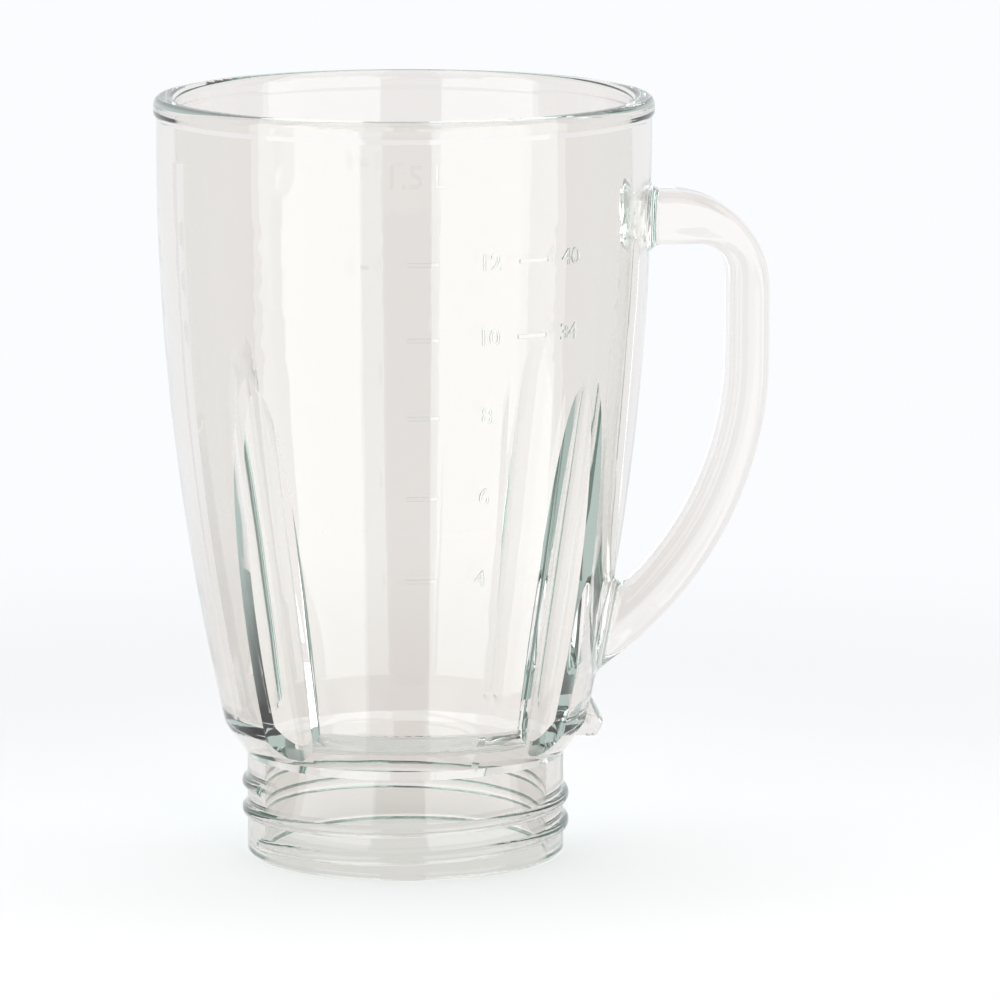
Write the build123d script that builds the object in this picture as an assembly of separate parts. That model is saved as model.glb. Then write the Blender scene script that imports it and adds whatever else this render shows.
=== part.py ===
from build123d import *
from math import cos, radians
import os

# Glass blender jar: one piece of pressed glass, open at the mouth and at the threaded neck.
# Millimetres. Origin on the jar's axis at the bottom of the neck, +Z up, handle towards +X.

# Body
total_height = 206.0
rim_radius = 66.5  # outside of the wall below the mouth
straight_depth = 15.0  # upright wall below the mouth, before the taper starts
base_radius = 49.0  # outside of the wall where the taper ends
base_z = 36.0  # height at which the taper ends
base_round = 6.0  # rounding of the outer corner there
rim_wall = 5.2
base_wall = 4.5
lip_reach = 0.7  # how far the mouth's lip stands proud of the wall
lip_height = 5.0
lip_round = 2.2  # rounding of the lip's outer and inner edges
floor_round = 4.0  # rounding inside, where the wall turns in to the neck
floor_rise = 9.0  # height over which the inside narrows to the neck's bore
floor_thickness = 3.5  # glass between the neck's top and the inside's narrowing

# Neck and its thread
neck_radius = 43.0
neck_height = 27.5
neck_wall = 4.6
neck_round = 1.2  # rounding of the neck's bottom edges
thread_pitch = 7.4
thread_turns = 2.0
thread_height = 1.4  # how far the rounded ridge stands out of the neck
thread_width = 3.6
thread_start_z = 4.9
thread_start_angle = 200.0  # from the handle's plane
thread_sink = 0.6  # how deep the ridge is rooted in the neck

# Flutes: straight round grooves outside, with ribs of even wall inside
flute_count = 4
flute_first_angle = 45.0  # from the handle's plane
flute_radius = 20.0
flute_top_z = 137.0  # apex of the arch, where the groove leaves the wall
flute_base_depth = 2.5  # depth of the groove where the taper ends
rib_wall = 4.8
seam_lead = 25.0  # from the seam between two like sectors of the body to the next flute, in degrees

# Handle: a loop in the XZ plane with rounded edges
handle_drop = 26.2  # from the mouth to the upper face of the upper arm
handle_reach = 98.5  # outer face of the grip, from the jar's axis
handle_upper_thickness = 14.5
handle_grip_thickness = 11.0
handle_width = 19.0
handle_edge_round = 4.5
handle_corner_round = 27.0  # outer corner between the upper arm and the grip
handle_corner_hollow = 8.0  # inner corner there
handle_corner_share = 0.9  # largest outer corner, as a share of the height from the bow to the upper arm
handle_bow_z = 135.0  # height at which the grip stands upright
handle_outer_bow = 101.5  # curve of the outer face down to the lower root
handle_bow_swell = 3.0  # shortens the inner face's curve, so that the lower arm swells to its root
handle_bow_angle = 52.0  # turn from there to the lower root
handle_root_round = 3.0  # fillet where the arms meet the wall
handle_root_depth = 16.0  # how far the arms are carried on inwards, to be cut by the hollow

# Locating lug under the handle
lug_reach = 4.8  # beyond the taper's end
lug_bottom_z = 32.5
lug_nose_z = 35.5
lug_top_z = 42.0
lug_undercut = 1.6
lug_round = 1.0
lug_span = 28.0  # degrees round the axis
lug_sink = 3.0

cut_margin = 2.0  # how far a cutting solid passes the face that it opens

# Values that follow
straight_z = total_height - straight_depth
taper_height = straight_z - base_z
rim_inner_radius = rim_radius - rim_wall
base_inner_radius = base_radius - base_wall
bore_radius = neck_radius - neck_wall
floor_low_z = neck_height + floor_thickness
floor_high_z = floor_low_z + floor_rise
handle_top_z = total_height - handle_drop
handle_inner_bow = handle_outer_bow - handle_grip_thickness - handle_bow_swell
sector_angle = 360 / flute_count


def wall_radius(z):
    """Outside radius of the wall at a height in the taper, which is a parabola, upright at its top."""
    return rim_radius - (rim_radius - base_radius) * ((straight_z - z) / taper_height) ** 2


def taper_line(top_radius, low_radius, low_z):
    """The same parabola between two radii, as a line of a profile."""
    middle_z = (straight_z + low_z) / 2
    return Bezier((top_radius, straight_z), (top_radius, middle_z), (low_radius, low_z))


def near(sketch, x, y):
    """The corner of a sketch that lies nearest to a point."""
    return sketch.vertices().sort_by_distance((x, y, 0))[0]


def flute_bar(radius):
    """A straight round bar that leans with the taper, for one sector's groove or its rib."""
    apex = Vector(wall_radius(flute_top_z), 0, flute_top_z)
    foot = Vector(base_radius - flute_base_depth, 0, base_z)
    lean = (apex - foot).normalized()
    outwards = Vector(lean.Z, 0, -lean.X)
    middle = (apex + foot) / 2 + outwards * flute_radius
    bar = Plane(origin=middle, z_dir=lean) * Cylinder(radius, 2 * (apex - foot).length)
    return bar.rotate(Axis.Z, seam_lead)


def all_round(sector):
    """One sector of the body repeated round the axis, each flute at its angle from the handle."""
    first = flute_first_angle - seam_lead
    copies = [sector.rotate(Axis.Z, first + sector_angle * index) for index in range(flute_count)]
    return copies[0].fuse(*copies[1:])


def outside():
    """The body's outside from the neck's top to the mouth, filled in, with its grooves."""
    lip_radius = rim_radius + lip_reach
    lip_low_z = total_height - lip_height
    with BuildPart() as sector:
        with BuildSketch(Plane.XZ) as profile:
            with BuildLine():
                Polyline((0, neck_height), (neck_radius, neck_height), (base_radius, base_z))
                taper_line(rim_radius, base_radius, base_z)
                Polyline(
                    (rim_radius, straight_z),
                    (rim_radius, lip_low_z - lip_reach),
                    (lip_radius, lip_low_z + lip_reach),
                    (lip_radius, total_height),
                    (0, total_height),
                    (0, neck_height),
                )
            make_face()
            fillet(near(profile, base_radius, base_z), base_round)
            fillet(near(profile, lip_radius, total_height), lip_round)
        revolve(axis=Axis.Z, revolution_arc=sector_angle)
    return all_round(sector.part.cut(flute_bar(flute_radius)))


def inside():
    """The hollow of the body as a solid, with a rounded mouth edge and with room for the ribs."""
    mouth_z = total_height - lip_round
    mouth_radius = rim_inner_radius + lip_round
    middle = lip_round * (1 - cos(radians(45)))
    with BuildPart() as sector:
        with BuildSketch(Plane.XZ) as profile:
            with BuildLine():
                Polyline((0, floor_low_z), (bore_radius, floor_low_z), (base_inner_radius, floor_high_z))
                taper_line(rim_inner_radius, base_inner_radius, floor_high_z)
                Line((rim_inner_radius, straight_z), (rim_inner_radius, mouth_z))
                ThreePointArc(
                    (rim_inner_radius, mouth_z),
                    (rim_inner_radius + middle, total_height - middle),
                    (mouth_radius, total_height),
                )
                Polyline(
                    (mouth_radius, total_height),
                    (mouth_radius, total_height + cut_margin),
                    (0, total_height + cut_margin),
                    (0, floor_low_z),
                )
            make_face()
            fillet(near(profile, base_inner_radius, floor_high_z), floor_round)
        revolve(axis=Axis.Z, revolution_arc=sector_angle)
    return all_round(sector.part.cut(flute_bar(flute_radius + rib_wall)))


def neck():
    """The neck with its rounded screw thread, still solid inside."""
    with BuildPart() as collar:
        with BuildSketch(Plane.XZ) as profile:
            with BuildLine():
                Polyline((0, 0), (neck_radius, 0), (neck_radius, floor_low_z), (0, floor_low_z), (0, 0))
            make_face()
            fillet(near(profile, neck_radius, 0), neck_round)
        revolve(axis=Axis.Z)
    with BuildPart() as ridge:
        with BuildLine() as path:
            Helix(
                pitch=thread_pitch,
                height=thread_pitch * thread_turns,
                radius=neck_radius,
                center=(0, 0, thread_start_z),
            )
        with BuildSketch(Plane(origin=path.line @ 0, x_dir=(1, 0, 0), z_dir=path.line % 0)):
            with BuildLine():
                ThreePointArc(
                    (-thread_sink, -thread_width / 2), (thread_height, 0), (-thread_sink, thread_width / 2)
                )
                Line((-thread_sink, thread_width / 2), (-thread_sink, -thread_width / 2))
            make_face()
        sweep(path=path.line, is_frenet=True)
    return collar.part + ridge.part.rotate(Axis.Z, thread_start_angle)


def handle():
    """The loop's outline in the XZ plane, given its width and rounded along its long edges."""
    root_x = rim_radius - handle_root_depth
    low_z = handle_top_z - handle_upper_thickness
    grip_x = handle_reach - handle_grip_thickness
    corner_round = min(handle_corner_round, (handle_top_z - handle_bow_z) * handle_corner_share)
    outer_turn = (handle_reach - corner_round, handle_top_z)
    inner_turn = (grip_x - handle_corner_hollow, low_z)
    outer_upright = (handle_reach, handle_bow_z)
    inner_upright = (grip_x, handle_bow_z)
    with BuildPart() as loop:
        with BuildSketch(Plane.XZ):
            with BuildLine():
                Line((root_x, handle_top_z), outer_turn)
                outer_corner = JernArc(outer_turn, (1, 0), corner_round, -90)
                Line(outer_corner @ 1, outer_upright)
                outer_bow = JernArc(outer_upright, (0, -1), handle_outer_bow, -handle_bow_angle)
                Line((root_x, low_z), inner_turn)
                inner_corner = JernArc(inner_turn, (1, 0), handle_corner_hollow, -90)
                Line(inner_corner @ 1, inner_upright)
                inner_bow = JernArc(inner_upright, (0, -1), handle_inner_bow, -handle_bow_angle)
                outer_end = PolarLine(outer_bow @ 1, handle_root_depth, direction=outer_bow % 1)
                inner_end = PolarLine(inner_bow @ 1, handle_root_depth, direction=inner_bow % 1)
                Line(outer_end @ 1, inner_end @ 1)
                Line((root_x, handle_top_z), (root_x, low_z))
            make_face()
        extrude(amount=handle_width / 2, both=True)
        upper_end = loop.faces().filter_by(Axis.X).sort_by(Axis.X)[0]
        lower_end = loop.faces().sort_by(Axis.X)[0]
        long_edges = loop.faces().filter_by(Plane.XZ).edges() - upper_end.edges() - lower_end.edges()
        fillet(long_edges, handle_edge_round)
    return loop.part


def locating_lug():
    """A wedge that stands out of the wall under the handle."""
    root_radius = base_radius - lug_sink
    nose_radius = base_radius + lug_reach
    with BuildPart() as lug:
        with BuildSketch(Plane.XZ.rotated((0, 0, -lug_span / 2))) as profile:
            with BuildLine():
                Polyline(
                    (root_radius, lug_bottom_z),
                    (nose_radius - lug_undercut, lug_bottom_z),
                    (nose_radius, lug_nose_z),
                    (wall_radius(lug_top_z), lug_top_z),
                    (root_radius, lug_top_z),
                    (root_radius, lug_bottom_z),
                )
            make_face()
            fillet(near(profile, nose_radius, lug_nose_z), lug_round)
            fillet(near(profile, nose_radius - lug_undercut, lug_bottom_z), lug_round)
        revolve(axis=Axis.Z, revolution_arc=lug_span)
    return lug.part


def glass_jar():
    """The whole jar: the outside and all that stands on it, then the hollow."""
    body = outside().fuse(neck(), locating_lug())
    loop = handle()
    joined = body.fuse(loop)
    filled = fillet(new_edges(body, loop, combined=joined), handle_root_round)
    bore_height = floor_low_z + 2 * cut_margin
    bore = Pos(0, 0, floor_low_z + cut_margin - bore_height / 2) * Cylinder(bore_radius, bore_height)
    return filled.cut(inside(), bore)


os.makedirs("parts", exist_ok=True)
export_step(glass_jar(), "parts/glass_jar.step")
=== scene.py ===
import math
import bpy
import bmesh
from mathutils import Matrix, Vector


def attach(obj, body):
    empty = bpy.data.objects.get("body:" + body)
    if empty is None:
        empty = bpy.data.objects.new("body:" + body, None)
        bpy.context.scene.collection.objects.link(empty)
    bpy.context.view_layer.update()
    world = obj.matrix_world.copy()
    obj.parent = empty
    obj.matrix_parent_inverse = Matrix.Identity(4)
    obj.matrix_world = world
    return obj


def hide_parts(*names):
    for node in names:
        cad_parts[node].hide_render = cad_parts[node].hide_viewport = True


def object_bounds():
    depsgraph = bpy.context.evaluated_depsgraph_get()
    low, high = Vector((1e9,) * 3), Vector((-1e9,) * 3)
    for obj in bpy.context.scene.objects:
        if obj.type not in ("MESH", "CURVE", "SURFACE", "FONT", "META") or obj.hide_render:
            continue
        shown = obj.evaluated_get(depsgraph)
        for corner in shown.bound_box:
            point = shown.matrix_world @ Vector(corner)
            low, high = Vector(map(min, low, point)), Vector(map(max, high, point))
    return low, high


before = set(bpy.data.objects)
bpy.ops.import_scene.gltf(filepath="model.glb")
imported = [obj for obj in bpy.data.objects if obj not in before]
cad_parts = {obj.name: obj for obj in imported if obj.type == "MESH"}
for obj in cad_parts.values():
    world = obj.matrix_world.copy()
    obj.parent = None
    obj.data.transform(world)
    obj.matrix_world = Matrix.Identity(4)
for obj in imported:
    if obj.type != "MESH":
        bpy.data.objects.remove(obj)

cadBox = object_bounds()
scene = bpy.context.scene
print("stage: frame loaded")


def link(tree, source, target):
    tree.links.new(source, target)


def mathNode(tree, operation, first, second=None):
    node = tree.nodes.new("ShaderNodeMath")
    node.operation = operation
    for socket, value in zip(node.inputs, (first, second)):
        if value is None:
            continue
        if isinstance(value, (int, float)):
            socket.default_value = value
        else:
            link(tree, value, socket)
    return node.outputs[0]


# glass: clear, faintly green at its edges, with the slight ripple of pressed glass; the dark grey-green
# of its edges is partly painted shade
glassLook = {
    "tint": (0.980, 0.995, 0.988, 1.0),
    "ior": 1.5,
    "rippleScale": 38.0,
    "rippleStrength": 0.05,
    "rippleDetail": 1.0,
    "rippleDepth": 0.002,
    "wearStart": 0.62,  # height in the ripple at which the surface starts to dull
    "wearEnd": 0.85,
    "smoothest": 0.0,
    "roughest": 0.03,
    "shadowTint": (0.86, 0.89, 0.88, 1.0),
    "passDepth": 5.0,  # light that has turned this often in the glass passes straight on
    # painted shade, partly the glass's own green: trapped light leaves in this dark grey-green, drawing
    # the lines at the flute edges and handle roots
    "paintedEdgeShade": (0.42, 0.52, 0.48, 1.0),
}


def emptyMaterial(name):
    material = bpy.data.materials.new(name)
    material.use_nodes = True
    material.node_tree.nodes.clear()
    return material, material.node_tree, material.node_tree.nodes.new("ShaderNodeOutputMaterial")


def makeGlass(name, look):
    material, tree, output = emptyMaterial(name)
    glass = tree.nodes.new("ShaderNodeBsdfPrincipled")
    glass.inputs["Base Color"].default_value = look["tint"]
    glass.inputs["IOR"].default_value = look["ior"]
    glass.inputs["Transmission Weight"].default_value = 1.0
    place = tree.nodes.new("ShaderNodeTexCoord")
    ripple = tree.nodes.new("ShaderNodeTexNoise")
    ripple.inputs["Scale"].default_value = look["rippleScale"]
    ripple.inputs["Detail"].default_value = look["rippleDetail"]
    link(tree, place.outputs["Object"], ripple.inputs["Vector"])
    bump = tree.nodes.new("ShaderNodeBump")
    bump.inputs["Strength"].default_value = look["rippleStrength"]
    bump.inputs["Distance"].default_value = look["rippleDepth"]
    link(tree, ripple.outputs["Fac"], bump.inputs["Height"])
    link(tree, bump.outputs["Normal"], glass.inputs["Normal"])
    wear = tree.nodes.new("ShaderNodeMapRange")
    wear.inputs["From Min"].default_value = look["wearStart"]
    wear.inputs["From Max"].default_value = look["wearEnd"]
    wear.inputs["To Min"].default_value = look["smoothest"]
    wear.inputs["To Max"].default_value = look["roughest"]
    link(tree, ripple.outputs["Fac"], wear.inputs["Value"])
    link(tree, wear.outputs["Result"], glass.inputs["Roughness"])
    # shadow rays and long-trapped light pass the glass, so that its shadow and its edges stay pale. The
    # trapped light leaves in a grey-green: painted shade, with some of the glass's own green, along the
    # flute edges and handle roots.
    clear = tree.nodes.new("ShaderNodeBsdfTransparent")
    clear.inputs["Color"].default_value = look["shadowTint"]
    path = tree.nodes.new("ShaderNodeLightPath")
    mix = tree.nodes.new("ShaderNodeMixShader")
    # painted shade: trapped light passes on in the dark grey-green of the edges
    trappedShade = tree.nodes.new("ShaderNodeBsdfTransparent")
    trappedShade.inputs["Color"].default_value = look["paintedEdgeShade"]
    late = tree.nodes.new("ShaderNodeMixShader")
    isLate = mathNode(tree, "GREATER_THAN", path.outputs["Ray Depth"], look["passDepth"])
    link(tree, isLate, late.inputs[0])
    link(tree, glass.outputs[0], late.inputs[1])
    link(tree, trappedShade.outputs[0], late.inputs[2])
    link(tree, path.outputs["Is Shadow Ray"], mix.inputs[0])
    link(tree, late.outputs[0], mix.inputs[1])
    link(tree, clear.outputs[0], mix.inputs[2])
    link(tree, mix.outputs[0], output.inputs["Surface"])
    return material


clearGlass = makeGlass("clear_glass", glassLook)
print("stage: glass made")

# the jar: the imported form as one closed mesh, with the normals of its true surfaces
jarLook = {"mergeDistance": 1e-6}
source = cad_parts["glass_jar"]
jarMesh = source.data.copy()
jarMesh.transform(source.matrix_world)
trueNormals = [tuple(n.vector) for n in jarMesh.corner_normals]
work = bmesh.new()
work.from_mesh(jarMesh)
bmesh.ops.remove_doubles(work, verts=work.verts, dist=jarLook["mergeDistance"])
openEdges = sum(1 for edge in work.edges if not edge.is_manifold)
work.to_mesh(jarMesh)
work.free()
if len(jarMesh.loops) == len(trueNormals):
    jarMesh.normals_split_custom_set(trueNormals)
jarMesh.materials.clear()
jarMesh.materials.append(clearGlass)
jarMesh.name = "blender_jar"
jar = bpy.data.objects.new("blender_jar", jarMesh)
scene.collection.objects.link(jar)
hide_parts("glass_jar")
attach(jar, "root")
print("stage: jar made", len(jarMesh.polygons), "faces,", openEdges, "open edges")

# moulded scale: ticks and plain numbers that follow the wall's curve, in metres
markLook = {
    "rows": 5,
    "firstHeight": 0.084,
    "rowStep": 0.0229,
    "rowShrink": 0.00042,  # each step is a little lower, because the jar widens
    "facing": -96.0,  # degrees round the axis, at the scale's left end
    "tickAngles": (5.0, 31.5),
    "tickLength": 0.0085,
    "tickWidth": 0.0011,
    "tickSteps": 13,  # points along a tick, so that it bends with the wall
    "numberAngle": 20.5,
    "numbers": ("4", "6", "8", "10", "12"),
    "sideAngle": 42.0,
    "sideNumbers": {3: "34", 4: "40"},
    "numberSize": 0.0062,
    "header": "1.5 L",
    "headerAngle": 3.5,
    "headerHeight": 0.1915,
    "headerSize": 0.0085,
    "relief": 0.0003,
    "sink": 0.00015,
    "mergeDistance": 1e-7,
    "rimRadius": 0.0665,
    "taperLoss": 0.0175,
    "taperTop": 0.191,
    "taperHeight": 0.155,
}


def wallRadius(height):
    share = max(0.0, (markLook["taperTop"] - height) / markLook["taperHeight"])
    return markLook["rimRadius"] - markLook["taperLoss"] * share ** 2


def rowHeight(row):
    return markLook["firstHeight"] + markLook["rowStep"] * row - markLook["rowShrink"] * row ** 2


def along(angle, height):
    return math.radians(angle) * wallRadius(height)


markTree = bpy.data.node_groups.new("scale_marks", "GeometryNodeTree")
markTree.is_modifier = True
markFace = markTree.interface
markFace.new_socket("Geometry", in_out="OUTPUT", socket_type="NodeSocketGeometry")
for label in ("Tick Length", "Tick Width", "Relief", "Sink", "Facing"):
    markFace.new_socket(label, in_out="INPUT", socket_type="NodeSocketFloat")
for label in ("Rim Radius", "Taper Loss", "Taper Top", "Taper Height"):
    markFace.new_socket(label, in_out="INPUT", socket_type="NodeSocketFloat")
markFace.new_socket("Material", in_out="INPUT", socket_type="NodeSocketMaterial")
given = markTree.nodes.new("NodeGroupInput")
made = markTree.nodes.new("NodeGroupOutput")


def markNode(kind, **settings):
    node = markTree.nodes.new(kind)
    for key, value in settings.items():
        setattr(node, key, value)
    return node


# numbers are laid out flat, filled and given their height
letters = markNode("GeometryNodeJoinGeometry")
labels = [(markLook["header"], markLook["headerAngle"], markLook["headerHeight"], markLook["headerSize"])]
for row, text in enumerate(markLook["numbers"]):
    labels.append((text, markLook["numberAngle"], rowHeight(row), markLook["numberSize"]))
for row, text in markLook["sideNumbers"].items():
    labels.append((text, markLook["sideAngle"], rowHeight(row), markLook["numberSize"]))
for text, angle, height, size in labels:
    word = markNode("GeometryNodeStringToCurves", align_x="CENTER", align_y="MIDDLE")
    word.inputs["String"].default_value = text
    word.inputs["Size"].default_value = size
    move = markNode("GeometryNodeTransform")
    move.inputs["Translation"].default_value = (along(angle, height), height, 0.0)
    link(markTree, word.outputs["Curve Instances"], move.inputs["Geometry"])
    link(markTree, move.outputs[0], letters.inputs[0])
flat = markNode("GeometryNodeRealizeInstances")
link(markTree, letters.outputs[0], flat.inputs[0])
fill = markNode("GeometryNodeFillCurve")
link(markTree, flat.outputs[0], fill.inputs["Curve"])
raised = markNode("GeometryNodeExtrudeMesh")
raised.inputs["Individual"].default_value = False
reach = mathNode(markTree, "ADD", given.outputs["Relief"], given.outputs["Sink"])
link(markTree, fill.outputs[0], raised.inputs["Mesh"])
link(markTree, reach, raised.inputs["Offset Scale"])
under = markNode("GeometryNodeFlipFaces")
link(markTree, fill.outputs[0], under.inputs[0])

# ticks are one bar, repeated on two columns of points
tickBar = markNode("GeometryNodeMeshCube")
barSize = markNode("ShaderNodeCombineXYZ")
link(markTree, given.outputs["Tick Length"], barSize.inputs[0])
link(markTree, given.outputs["Tick Width"], barSize.inputs[1])
link(markTree, reach, barSize.inputs[2])
link(markTree, barSize.outputs[0], tickBar.inputs["Size"])
tickBar.inputs["Vertices X"].default_value = markLook["tickSteps"]
barLift = markNode("ShaderNodeCombineXYZ")
link(markTree, mathNode(markTree, "MULTIPLY", reach, 0.5), barLift.inputs[2])
lifted = markNode("GeometryNodeTransform")
link(markTree, tickBar.outputs["Mesh"], lifted.inputs["Geometry"])
link(markTree, barLift.outputs[0], lifted.inputs["Translation"])
spots = markNode("GeometryNodeJoinGeometry")
for row in range(markLook["rows"]):
    for angle in markLook["tickAngles"]:
        if angle > markLook["numberAngle"] and row not in markLook["sideNumbers"]:
            continue
        spot = markNode("GeometryNodePoints")
        spot.inputs["Position"].default_value = (along(angle, rowHeight(row)), rowHeight(row), 0.0)
        link(markTree, spot.outputs[0], spots.inputs[0])
ticks = markNode("GeometryNodeInstanceOnPoints")
link(markTree, spots.outputs[0], ticks.inputs["Points"])
link(markTree, lifted.outputs[0], ticks.inputs["Instance"])
together = markNode("GeometryNodeJoinGeometry")
for piece in (ticks.outputs[0], raised.outputs["Mesh"], under.outputs[0]):
    link(markTree, piece, together.inputs[0])
whole = markNode("GeometryNodeRealizeInstances")
link(markTree, together.outputs[0], whole.inputs[0])
closed = markNode("GeometryNodeMergeByDistance")
closed.inputs["Distance"].default_value = markLook["mergeDistance"]
link(markTree, whole.outputs[0], closed.inputs["Geometry"])

# the flat layout is bent onto the wall: x runs round it, y is height, z stands out of it
spread = markNode("ShaderNodeSeparateXYZ")
link(markTree, markNode("GeometryNodeInputPosition").outputs[0], spread.inputs[0])
below = mathNode(markTree, "SUBTRACT", given.outputs["Taper Top"], spread.outputs[1])
share = mathNode(markTree, "DIVIDE", below, given.outputs["Taper Height"])
share = mathNode(markTree, "MAXIMUM", share, 0.0)
squared = mathNode(markTree, "MULTIPLY", share, share)
loss = mathNode(markTree, "MULTIPLY", squared, given.outputs["Taper Loss"])
wall = mathNode(markTree, "SUBTRACT", given.outputs["Rim Radius"], loss)
turn = mathNode(markTree, "DIVIDE", spread.outputs[0], wall)
turn = mathNode(markTree, "ADD", turn, given.outputs["Facing"])
out = mathNode(markTree, "ADD", wall, spread.outputs[2])
out = mathNode(markTree, "SUBTRACT", out, given.outputs["Sink"])
bent = markNode("ShaderNodeCombineXYZ")
link(markTree, mathNode(markTree, "MULTIPLY", out, mathNode(markTree, "COSINE", turn)), bent.inputs[0])
link(markTree, mathNode(markTree, "MULTIPLY", out, mathNode(markTree, "SINE", turn)), bent.inputs[1])
link(markTree, spread.outputs[1], bent.inputs[2])
placed = markNode("GeometryNodeSetPosition")
link(markTree, closed.outputs[0], placed.inputs["Geometry"])
link(markTree, bent.outputs[0], placed.inputs["Position"])
ready = markNode("GeometryNodeRealizeInstances")
link(markTree, placed.outputs[0], ready.inputs[0])
coat = markNode("GeometryNodeSetMaterial")
link(markTree, ready.outputs[0], coat.inputs["Geometry"])
link(markTree, given.outputs["Material"], coat.inputs["Material"])
link(markTree, coat.outputs[0], made.inputs[0])

markValues = {
    "Tick Length": markLook["tickLength"],
    "Tick Width": markLook["tickWidth"],
    "Relief": markLook["relief"],
    "Sink": markLook["sink"],
    "Rim Radius": markLook["rimRadius"],
    "Taper Loss": markLook["taperLoss"],
    "Taper Top": markLook["taperTop"],
    "Taper Height": markLook["taperHeight"],
    "Facing": math.radians(markLook["facing"]),
    "Material": clearGlass,
}
marks = bpy.data.objects.new("scale_marks", bpy.data.meshes.new("scale_marks_start"))
scene.collection.objects.link(marks)
grow = marks.modifiers.new("scale_marks", "NODES")
grow.node_group = markTree
for item in markFace.items_tree:
    if item.in_out == "INPUT":
        grow[item.identifier] = markValues[item.name]
grown = marks.evaluated_get(bpy.context.evaluated_depsgraph_get())
markMesh = bpy.data.meshes.new_from_object(grown)
marks.modifiers.clear()
marks.data = markMesh
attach(marks, "root")
print("stage: marks made", len(markMesh.polygons), "faces")

# studio: white behind, warm grey in front, a lit sweep on each side of the camera
studio = {
    "behind": (0.96, 0.975, 1.0, 1.0),
    "front": (0.24, 0.215, 0.20, 1.0),
    "throughBehind": (0.83, 0.775, 0.755, 1.0),  # what shows through the glass where no sweep is mirrored
    "throughFront": (0.40, 0.39, 0.375, 1.0),
    "throughStep": 0.36,  # share of that tint for each surface of glass passed
    "frontEdge": -0.25,  # the front's colour turns into the one behind between these
    "behindEdge": 0.1,
    "floorColor": (0.97, 0.972, 0.975, 1.0),
    # painted shade: the floor's colour where it is seen through the glass, a darker warm grey
    "floorShadeThroughGlass": (0.80, 0.75, 0.73, 1.0),
    "floorRoughness": 0.8,
    "floorRadius": 3.0,
    "floorSegments": 96,
    "floorGap": 0.0002,
    "fadeStart": 0.12,
    "fadeEnd": 0.5,
    "sweepGlow": 2.4,
    "sweepNear": 0.075,
    "sweepFar": 1.0,
    "sweepLift": 0.001,
    "sweepHeight": 0.9,
    "sweepSteps": 24,
    "sweeps": ((-78.0, -25.0), (7.0, 72.0)),  # degrees round the jar, 0 in front, handle positive
    "topPower": 1.3,
    "topSize": 0.9,
    "topPlace": (0, 0.1, 1.1),
}


def mixColor(tree, factor, first, second):
    node = tree.nodes.new("ShaderNodeMix")
    node.data_type = "RGBA"
    link(tree, factor, node.inputs[0])
    for socket, value in zip([s for s in node.inputs if s.type == "RGBA"], (first, second)):
        if isinstance(value, tuple):
            socket.default_value = value
        else:
            link(tree, value, socket)
    return [s for s in node.outputs if s.type == "RGBA"][0]


world = bpy.data.worlds.new("studio")
scene.world = world
world.use_nodes = True
sky = world.node_tree
sky.nodes.clear()
skyOut = sky.nodes.new("ShaderNodeOutputWorld")
skyGlow = sky.nodes.new("ShaderNodeBackground")
skyPath = sky.nodes.new("ShaderNodeLightPath")
skyPlace = sky.nodes.new("ShaderNodeTexCoord")
skyAxes = sky.nodes.new("ShaderNodeSeparateXYZ")
link(sky, skyPlace.outputs["Generated"], skyAxes.inputs[0])
skyShare = sky.nodes.new("ShaderNodeMapRange")
skyShare.inputs["From Min"].default_value = studio["frontEdge"]
skyShare.inputs["From Max"].default_value = studio["behindEdge"]
link(sky, skyAxes.outputs[1], skyShare.inputs["Value"])
mirrored = mixColor(sky, skyShare.outputs["Result"], studio["front"], studio["behind"])
through = mixColor(sky, skyShare.outputs["Result"], studio["throughFront"], studio["throughBehind"])
passed = mathNode(sky, "MULTIPLY", skyPath.outputs["Transmission Depth"], studio["throughStep"])
skyColor = mixColor(sky, passed, mirrored, through)
skyColor = mixColor(sky, skyPath.outputs["Is Camera Ray"], skyColor, studio["behind"])
link(sky, skyColor, skyGlow.inputs["Color"])
link(sky, skyGlow.outputs[0], skyOut.inputs["Surface"])

floorMesh = bpy.data.meshes.new("floor")
work = bmesh.new()
bmesh.ops.create_circle(
    work, cap_ends=True, segments=studio["floorSegments"], radius=studio["floorRadius"]
)
work.to_mesh(floorMesh)
work.free()
floorPaint = bpy.data.materials.new("floor")
floorPaint.use_nodes = True
tree = floorPaint.node_tree
floorPath = tree.nodes.new("ShaderNodeLightPath")
floorPassed = mathNode(tree, "MULTIPLY", floorPath.outputs["Transmission Depth"], studio["throughStep"])
floorShade = tree.nodes["Principled BSDF"]
floorShade.inputs["Roughness"].default_value = studio["floorRoughness"]
floorShade.inputs["Specular IOR Level"].default_value = 0.0
# painted shade: seen through the glass, the floor is drawn darker and warmer, more for each glass surface
# passed
floorColorAndShade = mixColor(tree, floorPassed, studio["floorColor"], studio["floorShadeThroughGlass"])
link(tree, floorColorAndShade, floorShade.inputs["Base Color"])
floorPlace = tree.nodes.new("ShaderNodeTexCoord")
floorReach = tree.nodes.new("ShaderNodeVectorMath")
floorReach.operation = "LENGTH"
link(tree, floorPlace.outputs["Object"], floorReach.inputs[0])
floorFade = tree.nodes.new("ShaderNodeMapRange")
floorFade.interpolation_type = "SMOOTHSTEP"
floorFade.inputs["From Min"].default_value = studio["fadeStart"]
floorFade.inputs["From Max"].default_value = studio["fadeEnd"]
link(tree, floorReach.outputs["Value"], floorFade.inputs["Value"])
floorGlow = tree.nodes.new("ShaderNodeEmission")
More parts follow.
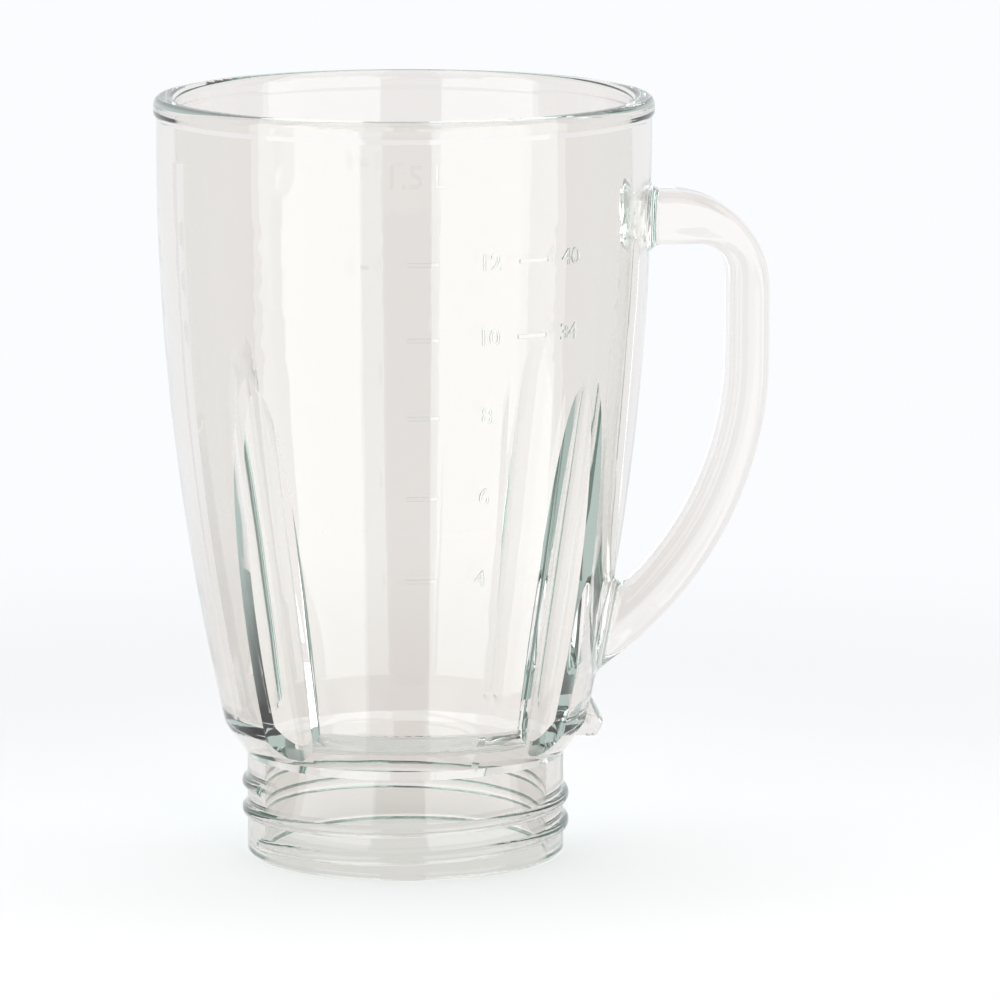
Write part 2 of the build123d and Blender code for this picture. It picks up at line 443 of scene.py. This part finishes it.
# painted shade: the far floor's glow, seen through the glass, turns the same darker warm grey as the
# world there
glowAndShade = mixColor(tree, floorPassed, studio["behind"], studio["throughBehind"])
link(tree, glowAndShade, floorGlow.inputs["Color"])
floorMix = tree.nodes.new("ShaderNodeMixShader")
link(tree, floorFade.outputs["Result"], floorMix.inputs[0])
link(tree, floorShade.outputs[0], floorMix.inputs[1])
link(tree, floorGlow.outputs[0], floorMix.inputs[2])
link(tree, floorMix.outputs[0], tree.nodes["Material Output"].inputs["Surface"])
floorMesh.materials.append(floorPaint)
floor = bpy.data.objects.new("floor", floorMesh)
floor.location.z = cadBox[0][2] - studio["floorGap"]
scene.collection.objects.link(floor)

# each sweep runs out along the floor and up, so that the whole wall mirrors it
sweepPaint, tree, sweepOut = emptyMaterial("sweep")
sweepGlow = tree.nodes.new("ShaderNodeEmission")
sweepGlow.inputs["Strength"].default_value = studio["sweepGlow"]
# a ray that has passed the glass without being mirrored doesn't see the sweep
sweepPath = tree.nodes.new("ShaderNodeLightPath")
sweepClear = tree.nodes.new("ShaderNodeBsdfTransparent")
sweepMix = tree.nodes.new("ShaderNodeMixShader")
unmirrored = mathNode(tree, "LESS_THAN", sweepPath.outputs["Glossy Depth"], 0.5)
seenThrough = mathNode(tree, "MULTIPLY", unmirrored, sweepPath.outputs["Is Transmission Ray"])
link(tree, seenThrough, sweepMix.inputs[0])
link(tree, sweepGlow.outputs[0], sweepMix.inputs[1])
link(tree, sweepClear.outputs[0], sweepMix.inputs[2])
link(tree, sweepMix.outputs[0], sweepOut.inputs["Surface"])
corner = (studio["sweepFar"], studio["sweepLift"])
lying = ((studio["sweepNear"], studio["sweepLift"]), corner)
upright = (corner, (studio["sweepFar"], studio["sweepHeight"]))
steps = studio["sweepSteps"]
for start, end in studio["sweeps"]:
    for name, ends in (("sweep_lying", lying), ("sweep_upright", upright)):
        corners = []
        for step in range(steps + 1):
            angle = math.radians(start + (end - start) * step / steps)
            for away, height in ends:
                corners.append((math.sin(angle) * away, -math.cos(angle) * away, height))
        faces = [(2 * i, 2 * i + 1, 2 * i + 3, 2 * i + 2) for i in range(steps)]
        sweepMesh = bpy.data.meshes.new(name)
        sweepMesh.from_pydata(corners, [], faces)
        sweepMesh.materials.append(sweepPaint)
        sweep = bpy.data.objects.new(name, sweepMesh)
        sweep.visible_camera = False
        sweep.visible_diffuse = name == "sweep_upright"
        sweep.visible_shadow = False
        scene.collection.objects.link(sweep)

top = bpy.data.lights.new("top", "AREA")
top.size = studio["topSize"]
top.energy = studio["topPower"]
topHolder = bpy.data.objects.new("top", top)
topHolder.location = studio["topPlace"]
topHolder.visible_camera = False
scene.collection.objects.link(topHolder)
print("stage: studio made")

# camera at the photo's viewing angle
view = {
    "azimuth": -6.0,
    "elevation": 9.6,
    "distance": 1.9,
    "lens": 253.0,
    "sensor": 36.0,
    "aimHeight": 0.096,
    "aimRight": 0.0257,
}
turnAngle = math.radians(view["azimuth"])
tilt = math.radians(view["elevation"])
level = math.cos(tilt)
towards = Vector((math.sin(turnAngle) * level, -math.cos(turnAngle) * level, math.sin(tilt)))
sideways = Vector((math.cos(turnAngle), math.sin(turnAngle), 0))
aim = sideways * view["aimRight"] + Vector((0, 0, view["aimHeight"]))
eye = bpy.data.cameras.new("camera")
eye.lens = view["lens"]
eye.sensor_width = view["sensor"]
camera = bpy.data.objects.new("camera", eye)
camera.location = aim + towards * view["distance"]
camera.rotation_euler = (-towards).to_track_quat("-Z", "Y").to_euler()
scene.collection.objects.link(camera)
scene.camera = camera
scene.view_settings.view_transform = "Standard"
print("stage: camera set")

print("stage: done")
